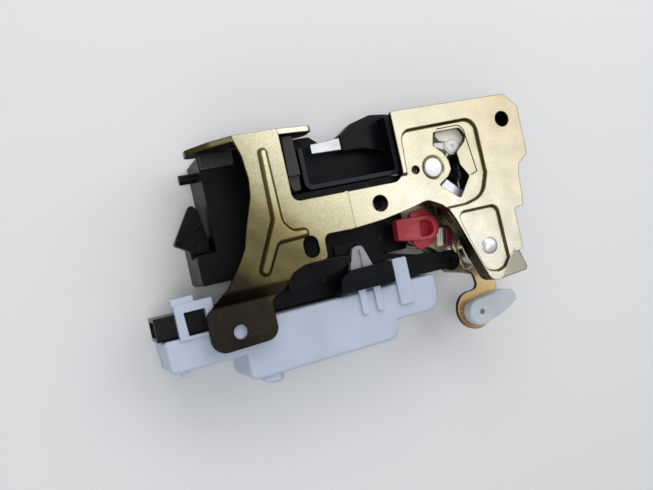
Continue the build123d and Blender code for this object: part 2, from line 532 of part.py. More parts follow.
with BuildPart() as latch_housing:
    with BuildSketch(Plane.XY.offset(housing_low)):
        outline(*left_block)
        outline(*lower_body)
    extrude(amount=lower_top - housing_low)
    with BuildSketch(Plane.XY.offset(lower_top - 0.5)):
        outline(*left_block)
    extrude(amount=left_top - lower_top + 0.5)
    with BuildSketch(Plane.XY.offset(housing_low)):      # hollow from behind
        outline(*left_block)
        offset(amount=-skin, mode=Mode.REPLACE)
    extrude(amount=left_top - skin - housing_low, mode=Mode.SUBTRACT)
    with BuildSketch(Plane.XY.offset(housing_low)):
        outline(*lower_body)
        offset(amount=-skin, mode=Mode.REPLACE)
    extrude(amount=lower_top - skin - housing_low, mode=Mode.SUBTRACT)
    with BuildSketch(Plane.XY.offset(housing_low + 2)):      # stiffening ribs in the hollows
        with Locations((-30.0, -15.2), (-16.0, -15.2), (-4.0, -15.2)):
            Rectangle(1.4, 22.0)
        with Locations((-46.0, 8.0), (-46.0, 18.0)):
            Rectangle(25.0, 1.4)
    extrude(amount=lower_top - housing_low - 3)
    with BuildSketch(Plane.XY.offset(housing_low)):      # shelf under the knob lever
        outline((-66.2, -6.0, 0), (-66.2, 1.6, 2.0), (-57.0, 1.6, 0), (-57.0, -6.0, 0))
    extrude(amount=knob_top - knob_thick - slide_gap - housing_low)
    with BuildSketch(Plane.XY.offset(floor_low)):        # floor under the claw
        outline(*floor_outline)
    extrude(amount=skin)
    with BuildSketch(Plane.XY.offset(lower_top - 0.5)):  # web behind the middle of the plate
        outline(*mid_block)
    extrude(amount=-sheet - 0.6 - lower_top + 0.5)
    with BuildSketch(Plane.XY.offset(floor_low)):        # walls round the claw chamber
        outline(*floor_outline)
        offset(amount=-skin, mode=Mode.SUBTRACT)
        outline((mouth_left, 9.0, 0), (mouth_left, 34.0, 0), (40.0, 34.0, 0), (40.0, 26.0, 0),
                (12.0, 9.0, 0), mode=Mode.SUBTRACT)
        outline((-30.0, -9.0, 0), (-30.0, 9.0, 0), (36.0, 9.0, 0), (36.0, -9.0, 0),
                mode=Mode.SUBTRACT)
        outline((36.0, -14.0, 0), (36.0, -6.0, 0), (52.4, -6.0, 0), (52.4, -14.0, 0),
                mode=Mode.SUBTRACT)
    extrude(amount=-sheet - 0.4 - floor_low)
    with BuildSketch(Plane.XY.offset(floor_low - 1)):
        with Locations((*claw_pivot, 0)):
            Circle(claw_rivet_r + 0.3)
    extrude(amount=4, mode=Mode.SUBTRACT)
    with Locations((*knob_pivot, housing_low)):          # hole for the knob lever's pin
        Cylinder(knob_pin_r, 40, mode=Mode.SUBTRACT)
    with BuildSketch(Plane.XY.offset(lower_top - 0.5)):  # ear in front of the release lever
        outline((10.6, -22.4, 0), (21.0, -22.4, 0.5), (21.0, -24.4, 0), (10.6, -24.4, 0))
    extrude(amount=ear_top - lower_top + 0.5)
    with BuildSketch(Plane.XY.offset(release_top + slide_gap)):
        outline((10.6, -21.6, 0), (20.0, -21.6, 2.0), (29.0, -23.2, 0.5), (29.0, -29.4, 1.5),
                (10.6, -29.4, 0))
        with Locations((*ear_at, 0)):
            Circle(ear_r)
    extrude(amount=ear_top - release_top - slide_gap)
    with Locations((*ear_at, ear_top)):
        Cylinder(1.2, 4, mode=Mode.SUBTRACT)
    with BuildSketch(Plane.YZ.offset(-57.5)):            # peg on the left block's side
        with Locations(peg_at):
            Circle(peg_r)
    extrude(amount=-peg_long)
    with BuildSketch(Plane.XY.offset(-30.0)):            # room for the door's screws
        with Locations((0, 0)):
            Circle(screw_boss_r + 0.3)
        with Locations((*slot_hole, 0)):
            SlotOverall(slot_size[0] + 1, slot_size[1] + 1, rotation=90)
    extrude(amount=30, mode=Mode.SUBTRACT)
    with BuildSketch(Plane.XY.offset(left_top)):         # ribbed grip strip at the top
        with GridLocations(1.3, 0, 9, 1):
            with Locations((-52.0, 27.4)):
                Rectangle(0.6, 3.6)
    extrude(amount=0.5)
finish(latch_housing, "latch_housing")

# ---------------------------------------------------------------- mouth liner and bumper
liner_wall = 1.8
liner_top = -3.0
liner_mid = claw_top + overmould + slide_gap     # above this the liner runs over the claw
liner_in = (-23.7, 10.4)         # inner faces of its left and right walls
liner_floor = 11.3               # inner face of its bottom
liner_run = [
    (liner_in[0] - liner_wall, 24.8, 0.3), (liner_in[0], 24.8, 0.3), (liner_in[0], liner_floor, 1.4),
    (liner_in[1], liner_floor, 0.6), (liner_in[1], 31.4, 0.3), (liner_in[1] + liner_wall, 31.4, 0.3),
    (liner_in[1] + liner_wall, liner_floor - liner_wall, 1.6),
    (liner_in[0] - liner_wall, liner_floor - liner_wall, 3.0),
]
with BuildPart() as mouth_liner:
    with BuildSketch(Plane.XY.offset(liner_mid)):
        outline(*liner_run)
    extrude(amount=liner_top - liner_mid)
    fillet(mouth_liner.faces().sort_by(Axis.Z)[-1].edges(), 0.3)
    with BuildSketch(Plane.XY.offset(floor_top)):
        outline(*liner_run)
        outline((-0.5, 0.0, 0), (40.0, 0.0, 0), (40.0, 40.0, 0), (-0.5, 40.0, 0), mode=Mode.SUBTRACT)
    extrude(amount=liner_mid - floor_top)
finish(mouth_liner, "mouth_liner")

bumper_top = -2.6
with BuildPart() as bumper:              # rubber buffer beside the mouth
    with BuildSketch(Plane.XY.offset(floor_top)):
        outline((-30.4, 29.6, 0.4), (-26.6, 29.6, 0.4), (-26.4, 16.0, 0.4), (-26.8, 10.4, 1.1),
                (-29.6, 10.2, 1.2), (-30.8, 15.0, 1.0))
    extrude(amount=bumper_top - floor_top)
    with BuildSketch(Plane.XY.offset(bumper_top - 1.6)):
        outline((-40.0, 0.0, 0), (-20.0, 0.0, 0), (-20.0, 15.6, 0), (-40.0, 15.6, 0))
    extrude(amount=4, mode=Mode.SUBTRACT)
finish(bumper, "bumper")

# ---------------------------------------------------------------- lock slide and knob lever
arm_tip = (-7.5, -15.2)  # where the actuator's arm drives the slide
arm_pin_r = 1.1
fork_low = -15.9
fork_thick = 1.0
slide_top = -6.5         # front face of the black lock slide
slide_thick = 3.0
slide_outline = [
    (-38.0, -16.2, 2.5), (-30.0, -14.6, 8.0), (-17.0, -15.0, 4.0), (-12.8, -15.6, 1.2),
    (-12.6, -18.2, 1.2), (-17.6, -20.8, 3.0), (-30.0, -22.8, 8.0), (-38.6, -25.0, 2.5),
]
with BuildPart() as lock_slide:
    with BuildSketch(Plane.XY.offset(slide_top - slide_thick)):
        outline(*slide_outline)
    extrude(amount=slide_thick)
    fillet(lock_slide.faces().sort_by(Axis.Z)[-1].edges(), 0.9)
    with Locations((-25.4, -22.4, slide_top)):           # small moulded pip
        Cylinder(0.9, 0.6, align=(Align.CENTER, Align.CENTER, Align.CENTER))
    with BuildSketch(Plane.XY.offset(fork_low)):         # leg down to the fork
        outline((-15.6, -15.6, 0.3), (-13.4, -15.6, 0.3), (-13.4, -18.4, 0.3), (-15.6, -18.4, 0.3))
    extrude(amount=slide_top - slide_thick - fork_low + 0.5)
    with BuildSketch(Plane.XY.offset(fork_low)):         # fork round the arm's pin
        outline((-15.6, -11.4, 0.5), (-5.2, -11.4, 0.5), (-5.2, -18.8, 0.5), (-15.6, -18.8, 0.3))
        with Locations((*arm_tip, 0)):
            SlotOverall(5.4, 2 * (arm_pin_r + slide_gap), rotation=90, mode=Mode.SUBTRACT)
    extrude(amount=fork_thick)
finish(lock_slide, "lock_slide")

with BuildPart() as knob_lever:
    with BuildSketch(Plane.XY.offset(knob_top - knob_thick)):
        outline((-72.0, 1.0, 0.8), (-63.4, 14.4, 1.2), (-61.0, 12.0, 1.2), (-59.5, 1.0, 2.0),
                (-60.2, -3.8, 1.9), (-64.6, -3.7, 1.6))
        with Locations((*knob_pivot, 0)):
            Circle(knob_pin_r + run_gap, mode=Mode.SUBTRACT)
    extrude(amount=knob_thick)
    with BuildSketch(Plane.XY.offset(knob_top)):         # raised lip of the lever's end
        outline((-72.2, 0.8, 0.3), (-71.6, 2.0, 0.3), (-61.4, 7.4, 0.3), (-60.8, 6.2, 0.3))
    extrude(amount=4.0)
finish(knob_lever, "knob_lever")

with BuildPart() as knob_pin:
    with Locations((*knob_pivot, knob_top - knob_thick - 8)):
        Cylinder(knob_pin_r, knob_thick + 8.4, align=(Align.CENTER, Align.CENTER, Align.MIN))
    with Locations((*knob_pivot, knob_top + 0.4)):
        Cylinder(2.4, 0.9, align=(Align.CENTER, Align.CENTER, Align.MIN))
finish(knob_pin, "knob_pin")

# ---------------------------------------------------------------- white actuator box
box_top = -10.0          # front face of the box
box_low = -34.0          # back rim of the box, where its cover sits
gear_top = -17.0         # front face of the bump over the gear wheel
box_outline = [
    (-84.0, -30.8, 1.6), (20.4, -30.0, 1.6), (20.0, -43.4, 6.0), (1.6, -43.6, 0),
    (0.8, -50.4, 4.5), (-57.4, -51.2, 2.6), (-57.2, -41.8, 0), (-83.4, -42.2, 1.6),
]
arm_pivot = (-7.5, -34.4)        # shaft of the gear wheel and its arm
bump_wide = 6.9          # half width of the bump over the gear wheel
bump_y = -27.6

with BuildPart() as actuator_box:
    with BuildSketch(Plane.XY.offset(box_low)):
        outline(*box_outline)
    extrude(amount=box_top - box_low)
    fillet(actuator_box.faces().sort_by(Axis.Z)[-1].edges(), 1.3)
    with BuildSketch(Plane.XY.offset(box_low)):          # hollow, open to the back
        outline(*box_outline)
        offset(amount=-white_wall, mode=Mode.REPLACE)
    extrude(amount=box_top - white_wall - box_low, mode=Mode.SUBTRACT)
    with BuildSketch(Plane.XY.offset(box_low)):          # bump over the gear wheel
        outline((arm_pivot[0] - bump_wide, -31.6, 0), (arm_pivot[0] - bump_wide, bump_y, 2.2),
                (arm_pivot[0] + bump_wide, bump_y, 2.2), (arm_pivot[0] + bump_wide, -31.6, 0))
    extrude(amount=gear_top - box_low)
    with BuildSketch(Plane.XY.offset(box_low)):
        outline((arm_pivot[0] - bump_wide + 1.3, -34.6, 0),
                (arm_pivot[0] - bump_wide + 1.3, bump_y - 1.3, 1.6),
                (arm_pivot[0] + bump_wide - 1.3, bump_y - 1.3, 1.6),
                (arm_pivot[0] + bump_wide - 1.3, -34.6, 0))
    extrude(amount=gear_top - 1.3 - box_low, mode=Mode.SUBTRACT)
    with BuildSketch(Plane.XY.offset(box_low)):          # wall between socket and motor
        with Locations((-58.0, -36.4)):
            Rectangle(white_wall, 10.0)
    extrude(amount=box_top - 1.0 - box_low)
    with BuildSketch(Plane.XZ.offset(-arm_pivot[1] - 9.0)):      # slot for the arm
        with Locations((arm_pivot[0] - 1.5, box_top - white_wall - 1.4)):
            Rectangle(16.0, 3.4)
    extrude(amount=10.0, both=True, mode=Mode.SUBTRACT)
    with BuildSketch(Plane.XY.offset(box_top)):          # ribs that flank the arm, and the post
        outline((-12.0, -28.0, 0.2), (-9.2, -28.0, 0.2), (-9.2, -38.4, 0.8), (-12.0, -38.4, 0.8))
        outline((-6.0, -28.0, 0.2), (-3.2, -28.0, 0.2), (-3.2, -38.4, 0.8), (-6.0, -38.4, 0.8))
        outline((3.6, -21.0, 0.8), (9.4, -21.0, 0.8), (9.4, -38.4, 0.8), (3.6, -38.4, 0.8))
    extrude(amount=1.2)
    with BuildSketch(Plane.XY.offset(box_top - 5)):
        outline((3.6, -21.0, 0.8), (9.4, -21.0, 0.8), (9.4, -31.0, 0), (3.6, -31.0, 0))
    extrude(amount=5.0)
    with BuildSketch(Plane.XY.offset(box_top - 2.6)):    # frame that holds the socket
        outline((-78.2, -19.4, 0.5), (-65.0, -19.2, 0.5), (-65.0, -31.6, 0), (-78.2, -31.6, 0))
        outline((-75.4, -22.4, 0.4), (-67.9, -22.4, 0.4), (-67.9, -30.6, 0.4), (-75.0, -30.6, 0.4),
                mode=Mode.SUBTRACT)
    extrude(amount=3.4)
    with BuildSketch(Plane.XY.offset(box_top - 6.0)):
        outline((-78.6, -17.4, 0.4), (-71.0, -17.2, 0.4), (-71.0, -19.9, 0), (-78.6, -19.9, 0))
    extrude(amount=5.0)
    with BuildSketch(Plane.XY.offset(box_top - 8.0)):    # feet
        outline((-80.0, -41.0, 0), (-77.0, -41.0, 0), (-77.2, -44.2, 0.5), (-79.8, -44.2, 0.5))
        outline((-52.8, -49.0, 0), (-46.2, -49.0, 0), (-46.4, -53.2, 1.0), (-52.4, -53.2, 1.0))
    extrude(amount=6.0)
    with BuildSketch(Plane.XY.offset(box_top - 0.5)):    # peg in the tab's hole
        with Locations((*tab_hole, 0)):
            Circle(tab_hole_r - 0.1)
    extrude(amount=left_rise - tab_drop - sheet - box_top + 0.5)
    with BuildSketch(Plane.XY.offset(box_top - 1.5)):
        with Locations((*tab_hole, 0)):
            Circle(5.0)
    extrude(amount=left_rise - tab_drop - sheet - box_top + 1.5)
finish(actuator_box, "actuator_box")

with BuildPart() as actuator_cover:      # back cover of the box
    with BuildSketch(Plane.XY.offset(box_low - white_wall)):
        outline(*box_outline)
        offset(amount=0.3, mode=Mode.REPLACE)
    extrude(amount=white_wall)
    fillet(actuator_cover.faces().sort_by(Axis.Z)[0].edges(), 0.6)
finish(actuator_cover, "actuator_cover")

# ---------------------------------------------------------------- motor, worm and gear wheel
motor_axis = (-41.6, -23.0)      # its Y and Z
motor_r = 10.0
motor_flat = 13.6        # across the motor's flats
motor_x = (-55.0, -30.0)         # ends of the motor can
shaft_r = 1.0
worm_x = (-14.6, -1.6)   # ends of the worm, either side of the wheel
worm_core_r = 1.7
worm_r = 3.0
tooth_pitch = 2.4
wheel_teeth = 12
wheel_r = wheel_teeth * tooth_pitch / (2 * pi)           # pitch radius of the wheel
wheel_thick = 3.0
tooth_out = 0.55         # tooth tip above the pitch circle
arm_thick = 2.2

with BuildPart() as motor:
    with BuildSketch(Plane.YZ.offset(motor_x[0])):
        with Locations(motor_axis):
            Circle(motor_r)
            Rectangle(motor_flat, 3 * motor_r, mode=Mode.INTERSECT)
    extrude(amount=motor_x[1] - motor_x[0])
    fillet(motor.faces().sort_by(Axis.X)[-1].edges(), 0.6)
    with BuildSketch(Plane.YZ.offset(motor_x[1])):
        with Locations(motor_axis):
            Circle(3.0)
    extrude(amount=1.4)
finish(motor, "motor")

with BuildPart() as worm_shaft:
    with BuildSketch(Plane.YZ.offset(motor_x[1] + 1.4)):
        with Locations(motor_axis):
            Circle(shaft_r)
    extrude(amount=worm_x[1] - motor_x[1] - 1.4)
finish(worm_shaft, "worm_shaft")

thread_turns = 4.5
thread_start = arm_pivot[0] - 2.25 * tooth_pitch         # puts a wheel tooth between two threads
with BuildPart() as worm:
    with BuildSketch(Plane.YZ.offset(worm_x[0])):
        with Locations(motor_axis):
            Circle(worm_core_r)
            Circle(shaft_r, mode=Mode.SUBTRACT)
    extrude(amount=worm_x[1] - worm_x[0])
    with BuildLine() as thread_line:
        Helix(pitch=tooth_pitch, height=tooth_pitch * thread_turns, radius=worm_core_r,
              center=(thread_start, *motor_axis), direction=(1, 0, 0))
    with BuildSketch(Plane(origin=thread_line.line @ 0, x_dir=(0, 0, 1),
                           z_dir=thread_line.line % 0)):
        Polygon((-0.3, -0.55), (worm_r - worm_core_r, -0.3), (worm_r - worm_core_r, 0.3),
                (-0.3, 0.55), align=None)
    sweep(path=thread_line.line, is_frenet=True)
finish(worm, "worm")

wheel_root = arm_pivot[1] - motor_axis[0] - worm_r - 0.25
with BuildPart() as gear_wheel:
    with BuildSketch(Plane.XY.offset(motor_axis[1] - wheel_thick / 2)):
        with Locations((*arm_pivot, 0)):
            Circle(wheel_root)
            with PolarLocations(wheel_root, wheel_teeth, start_angle=-90):
                Polygon((-0.4, -0.6), (wheel_r + tooth_out - wheel_root, -0.32),
                        (wheel_r + tooth_out - wheel_root, 0.32), (-0.4, 0.6), align=None)
            Circle(2.0, mode=Mode.SUBTRACT)
    extrude(amount=wheel_thick)
finish(gear_wheel, "gear_wheel")

arm_top = box_top - white_wall - 0.2
cover_gap = 0.2
with BuildPart() as gear_shaft:          # carries the gear wheel and the arm
    with Locations((*arm_pivot, box_low + cover_gap)):
        Cylinder(2.0, arm_top - arm_thick - box_low - cover_gap,
                 align=(Align.CENTER, Align.CENTER, Align.MIN))
finish(gear_shaft, "gear_shaft")

with BuildPart() as output_arm:          # white arm that throws the lock slide
    with BuildSketch(Plane.XY.offset(arm_top - arm_thick)):
        outline((arm_tip[0] - 1.9, arm_tip[1] + 1.9, 1.8), (arm_tip[0] + 1.9, arm_tip[1] + 1.9, 1.8),
                (-2.9, -21.4, 0.6), (-4.6, -27.0, 1.0), (-4.4, -37.4, 2.8), (-10.6, -37.4, 2.8),
                (-10.4, -27.0, 1.0), (-12.1, -21.4, 0.6))
    extrude(amount=arm_thick)
    with BuildSketch(Plane.XY.offset(arm_top - 0.8)):    # groove down the middle of the arm
        with Locations((arm_tip[0], -18.6)):
            Rectangle(1.3, 7.6)
    extrude(amount=1.0, mode=Mode.SUBTRACT)
finish(output_arm, "output_arm")

with BuildPart() as arm_pin:
    with Locations((*arm_tip, fork_low + 0.1)):
        Cylinder(arm_pin_r, arm_top - arm_thick - fork_low - 0.1,
                 align=(Align.CENTER, Align.CENTER, Align.MIN))
finish(arm_pin, "arm_pin")

arm_cover_top = -6.4
with BuildPart() as arm_cover:           # black bridge over the slot of the arm
    with BuildSketch(Plane.XY.offset(lower_top)):
        outline((-19.4, -26.8, 0.6), (-19.4, -29.2, 0.6), (2.4, -29.2, 0.6), (2.4, -26.8, 0.6))
        outline((-16.6, -20.0, 0), (1.0, -20.0, 0), (1.0, -29.8, 0), (-16.6, -29.8, 0),
                mode=Mode.SUBTRACT)
    extrude(amount=arm_cover_top - lower_top - 2.0)
    with BuildSketch(Plane.XY.offset(arm_cover_top - 2.2)):
        outline((-14.6, -21.4, 1.0), (2.4, -21.0, 1.0), (2.4, -29.2, 0.6), (-19.4, -29.2, 0.8),
                (-18.4, -23.6, 2.0))
    extrude(amount=2.2)
    fillet(arm_cover.faces().sort_by(Axis.Z)[-1].edges(), 0.5)
finish(arm_cover, "arm_cover")

# ---------------------------------------------------------------- connector
socket_x = (-85.4, -62.0)        # ends of the black socket
socket_y = (-30.6, -22.4)
socket_z = (-31.0, box_top - 2.6)
socket_wall = 1.3
pin_pitch = 3.6
pin_size = (1.8, 0.7)
with BuildPart() as socket:
    with BuildSketch(Plane.YZ.offset(socket_x[0])):
        with Locations(((socket_y[0] + socket_y[1]) / 2, (socket_z[0] + socket_z[1]) / 2)):
            RectangleRounded(socket_y[1] - socket_y[0], socket_z[1] - socket_z[0], 0.8)
    extrude(amount=socket_x[1] - socket_x[0])
    with BuildSketch(Plane.YZ.offset(socket_x[0])):
        with Locations(((socket_y[0] + socket_y[1]) / 2, (socket_z[0] + socket_z[1]) / 2)):
            RectangleRounded(socket_y[1] - socket_y[0] - 2 * socket_wall,
                             socket_z[1] - socket_z[0] - 2 * socket_wall, 0.5)
    extrude(amount=14.0, mode=Mode.SUBTRACT)
    with BuildSketch(Plane.YZ.offset(socket_x[0])):      # slits for the terminals
        for k in range(4):
            with Locations(((socket_y[0] + socket_y[1]) / 2,
                            (socket_z[0] + socket_z[1]) / 2 + (k - 1.5) * pin_pitch)):
                Rectangle(*pin_size)
    extrude(amount=16.0, mode=Mode.SUBTRACT)
finish(socket, "socket")

with BuildPart() as terminals:           # four blade terminals
    for k in range(4):
        with BuildSketch(Plane.YZ.offset(socket_x[0] + 4.0)):
            with Locations(((socket_y[0] + socket_y[1]) / 2,
                            (socket_z[0] + socket_z[1]) / 2 + (k - 1.5) * pin_pitch)):
                Rectangle(*pin_size)
        extrude(amount=12.0)
finish(terminals, "terminals")
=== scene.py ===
# %% [markdown]
# # A door latch with its lock actuator
# The latch is a pressed, gold-coloured steel plate with a claw behind its mouth, a pawl, two
# levers with plastic clips and a white motor box. The solids come from the CAD frame, and this
# lesson gives them their finishes, adds the small moulded and pressed details, and lights them.

import bpy
import bmesh
from math import atan2, cos, pi, radians, sin, tan
from mathutils import Matrix, Vector


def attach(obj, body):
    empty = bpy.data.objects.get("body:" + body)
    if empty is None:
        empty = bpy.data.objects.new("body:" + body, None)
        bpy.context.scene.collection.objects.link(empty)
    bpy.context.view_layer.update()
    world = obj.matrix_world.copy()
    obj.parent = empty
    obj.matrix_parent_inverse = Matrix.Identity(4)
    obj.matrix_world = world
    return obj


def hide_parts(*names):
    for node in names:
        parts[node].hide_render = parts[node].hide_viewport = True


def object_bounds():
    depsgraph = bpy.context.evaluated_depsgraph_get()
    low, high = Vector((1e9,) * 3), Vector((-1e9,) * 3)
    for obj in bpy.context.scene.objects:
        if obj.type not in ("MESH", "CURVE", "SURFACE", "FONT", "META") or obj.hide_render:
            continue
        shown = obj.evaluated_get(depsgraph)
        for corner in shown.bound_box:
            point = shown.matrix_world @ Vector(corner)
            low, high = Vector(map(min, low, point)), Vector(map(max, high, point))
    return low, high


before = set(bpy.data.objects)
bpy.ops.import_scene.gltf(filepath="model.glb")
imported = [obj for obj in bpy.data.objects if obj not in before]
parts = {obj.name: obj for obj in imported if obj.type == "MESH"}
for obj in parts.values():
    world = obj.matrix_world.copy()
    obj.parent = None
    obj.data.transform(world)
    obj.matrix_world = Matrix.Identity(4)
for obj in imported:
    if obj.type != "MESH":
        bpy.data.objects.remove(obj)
cad_box = [list(corner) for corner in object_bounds()]

# %% [markdown]
# The latch lies on its back, so the floor is level with the housing's lowest face. The camera
# looks down on the face plate from the left, a little rolled, with a lens of about 39 mm.

# %% Camera
MM = 0.001          # scene units are metres
right = Vector((0.919147, -0.216440, 0.329108))
up = Vector((0.203773, 0.976296, 0.072962))
back = right.cross(up)
camera = bpy.data.objects.new("camera", bpy.data.cameras.new("camera"))
bpy.context.scene.collection.objects.link(camera)
sensor_mm, picture_px, focal_px = 36, 653, 700
camera.data.lens = sensor_mm * focal_px / picture_px
camera.data.clip_start = 0.01
camera_place = Vector((-105.77, -10.48, 229.58)) * MM
camera.matrix_world = Matrix.Translation(camera_place) @ Matrix((right, up, back)).transposed().to_4x4()
bpy.context.scene.camera = camera
print("camera height in mm:", round(camera.location.z / MM))

# %% [markdown]
# A pale floor and soft square lamps keep the colours plain. The key stands at the upper right, one
# lamp is beyond the top edge, a weak fill is at the lower left, and a small one in front reaches
# under the plate. The world is a quiet grey. Metal and glossy plastic mirror it brighter than it
# lights the latch, as the white walls of a studio would show in them.

# %% Floor and lights
floor_z = cad_box[0][2]
floor_half = 2
lamp_aim = Vector((-0.01, -0.01, -0.015))
sky_lights, sky_mirrored = 0.30, 0.70


def look(name, build):
    """A material whose nodes are laid out by the function build(nodes, links, shader)."""
    material = bpy.data.materials.new(name)
    material.use_nodes = True
    tree = material.node_tree
    build(tree.nodes, tree.links, tree.nodes["Principled BSDF"])
    return material


def floor_finish(nodes, links, shader):
    shader.inputs["Base Color"].default_value = (0.88, 0.89, 0.90, 1)
    shader.inputs["Roughness"].default_value = 0.8


sheet_of_card = bpy.data.meshes.new("floor")
sheet_of_card.from_pydata([(x * floor_half, y * floor_half, floor_z)
                           for x, y in ((-1, -1), (1, -1), (1, 1), (-1, 1))], [], [(0, 1, 2, 3)])
floor = bpy.data.objects.new("floor", sheet_of_card)
bpy.context.scene.collection.objects.link(floor)
floor.data.materials.append(look("floor_card", floor_finish))


def softbox(name, place, size, power):
    """A square area lamp, in metres, aimed at the middle of the latch."""
    lamp = bpy.data.objects.new(name, bpy.data.lights.new(name, "AREA"))
    lamp.data.size = size
    lamp.data.energy = power
    lamp.location = place
    lamp.rotation_euler = (lamp_aim - Vector(place)).to_track_quat("-Z", "Y").to_euler()
    bpy.context.scene.collection.objects.link(lamp)


softbox("key_lamp", (0.42, 0.26, 0.52), 0.66, 1.9)
softbox("top_lamp", (-0.05, 0.60, 0.40), 0.50, 1.5)
softbox("fill_lamp", (-0.45, -0.50, 0.55), 0.60, 0.6)
softbox("front_lamp", (-0.20, -0.06, 0.60), 0.25, 0.9)
world = bpy.data.worlds.new("studio")
bpy.context.scene.world = world
world.use_nodes = True
sky_nodes, sky_links = world.node_tree.nodes, world.node_tree.links
sky_nodes["Background"].inputs["Color"].default_value = (0.86, 0.88, 0.90, 1)
rays = sky_nodes.new("ShaderNodeLightPath")
shown = sky_nodes.new("ShaderNodeMath")
shown.operation = "MAXIMUM"
sky_links.new(rays.outputs["Is Camera Ray"], shown.inputs[0])
sky_links.new(rays.outputs["Is Glossy Ray"], shown.inputs[1])
sky = sky_nodes.new("ShaderNodeMapRange")
sky.inputs["To Min"].default_value = sky_lights
sky.inputs["To Max"].default_value = sky_mirrored
sky_links.new(shown.outputs["Value"], sky.inputs["Value"])
sky_links.new(sky.outputs["Result"], sky_nodes["Background"].inputs["Strength"])
bpy.context.scene.view_settings.view_transform = "Standard"

# %% [markdown]
# Every finish starts from object coordinates, so its grain has a true size in metres. The helpers
# give a noise, a colour ramp, a mapped value, a bump laid over rounded edges, a mask that tells
# leaning walls from flat faces, and a blend of two colours. The Bevel node rounds the shading of
# the sharp edges by a few tenths of a millimetre.

# %% Helpers for finishes


def noise(nodes, links, scale, detail=3.0, stretch=(1, 1, 1)):
    """Noise whose features are about 1/scale metres, stretched along the axes."""
    place = nodes.new("ShaderNodeTexCoord")
    turn = nodes.new("ShaderNodeMapping")
    turn.inputs["Scale"].default_value = stretch
    links.new(place.outputs["Object"], turn.inputs["Vector"])
    texture = nodes.new("ShaderNodeTexNoise")
    texture.inputs["Scale"].default_value = scale
    texture.inputs["Detail"].default_value = detail
    links.new(turn.outputs["Vector"], texture.inputs["Vector"])
    return texture.outputs["Fac"]


def ramp(nodes, links, value, stops):
    """A colour ramp through (position, colour) stops."""
    band = nodes.new("ShaderNodeValToRGB")
    while len(band.color_ramp.elements) < len(stops):
        band.color_ramp.elements.new(0.5)
    for element, (position, colour) in zip(band.color_ramp.elements, stops):
        element.position = position
        element.color = (*colour, 1)
    links.new(value, band.inputs["Fac"])
    return band.outputs["Color"]


def span(nodes, links, value, low, high):
    """Map a value of 0.3 to 0.7, as noise gives it, to low..high."""
    fit = nodes.new("ShaderNodeMapRange")
    fit.inputs["From Min"].default_value = 0.3
    fit.inputs["From Max"].default_value = 0.7
    fit.inputs["To Min"].default_value = low
    fit.inputs["To Max"].default_value = high
    links.new(value, fit.inputs["Value"])
    return fit.outputs["Result"]


def relief(nodes, links, shader, height, depth, edge=0.25):
    """Bump of a depth in millimetres over edges rounded by edge millimetres."""
    soft_edge = nodes.new("ShaderNodeBevel")
    soft_edge.samples = 4
    soft_edge.inputs["Radius"].default_value = edge * MM
    bump = nodes.new("ShaderNodeBump")
    bump.inputs["Strength"].default_value = 1
    bump.inputs["Distance"].default_value = depth * MM
    links.new(height, bump.inputs["Height"])
    links.new(soft_edge.outputs["Normal"], bump.inputs["Normal"])
    links.new(bump.outputs["Normal"], shader.inputs["Normal"])


def walls(nodes, links, low, high, soft):
    """0 on upright faces, 1 on faces that lie flat, blended over soft millimetres of edge."""
    shape = nodes.new("ShaderNodeBevel")
    shape.samples = 8
    shape.inputs["Radius"].default_value = soft * MM
    split = nodes.new("ShaderNodeSeparateXYZ")
    links.new(shape.outputs["Normal"], split.inputs["Vector"])
    fit = nodes.new("ShaderNodeMapRange")
    fit.interpolation_type = "SMOOTHSTEP"
    fit.inputs["From Min"].default_value = low
    fit.inputs["From Max"].default_value = high
    links.new(split.outputs["Z"], fit.inputs["Value"])
    return fit.outputs["Result"]


def tinted(nodes, links, first, second, share=1.0, mode="MULTIPLY"):
    """Two colours blended; share is a number or a socket."""
    blend = nodes.new("ShaderNodeMix")
    blend.data_type = "RGBA"
    blend.blend_type = mode
    if isinstance(share, float):
        blend.inputs["Factor"].default_value = share
    else:
        links.new(share, blend.inputs["Factor"])
    links.new(first, blend.inputs["A"])
    links.new(second, blend.inputs["B"])
    return blend.outputs["Result"]


print("helpers ready")

# %% [markdown]
# ## Gold zinc
# The plate is mild steel, zinc-plated and passivated: a thin film that goes from straw through
# olive to brown. A gradient runs from the joggled tab at the lower left to the claw's side at the
# upper right. It lays those tints, with painted shade towards the lower left and a painted
# reflection towards the upper right. Over it come a slow drift, a fine fleck, thin bright scratches,
# a painted highlight on the highest faces such as the ridge of the rib, and painted shade, brown,
# on leaning walls and their rounded edges. One more noise makes the roughness uneven, as handling does.

# %% Gold zinc finish


def along(nodes, links, start, end):
    """0 to 1 from the lower left to the upper right, between two values of X + 0.9 Y in mm."""
    place = nodes.new("ShaderNodeTexCoord")
    lean = nodes.new("ShaderNodeVectorMath")
    lean.operation = "DOT_PRODUCT"
    lean.inputs[1].default_value = (1, 0.9, 0)
    links.new(place.outputs["Object"], lean.inputs[0])
    fit = nodes.new("ShaderNodeMapRange")
    fit.inputs["From Min"].default_value = start * MM
    fit.inputs["From Max"].default_value = end * MM
    links.new(lean.outputs["Value"], fit.inputs["Value"])
    return fit.outputs["Result"]


def rise(nodes, links, low, high):
    """0 to 1 between two heights, in millimetres of the object's Z."""
    place = nodes.new("ShaderNodeTexCoord")
    split = nodes.new("ShaderNodeSeparateXYZ")
    links.new(place.outputs["Object"], split.inputs["Vector"])
    fit = nodes.new("ShaderNodeMapRange")
    fit.inputs["From Min"].default_value = low * MM
    fit.inputs["From Max"].default_value = high * MM
    links.new(split.outputs["Z"], fit.inputs["Value"])
    return fit.outputs["Result"]


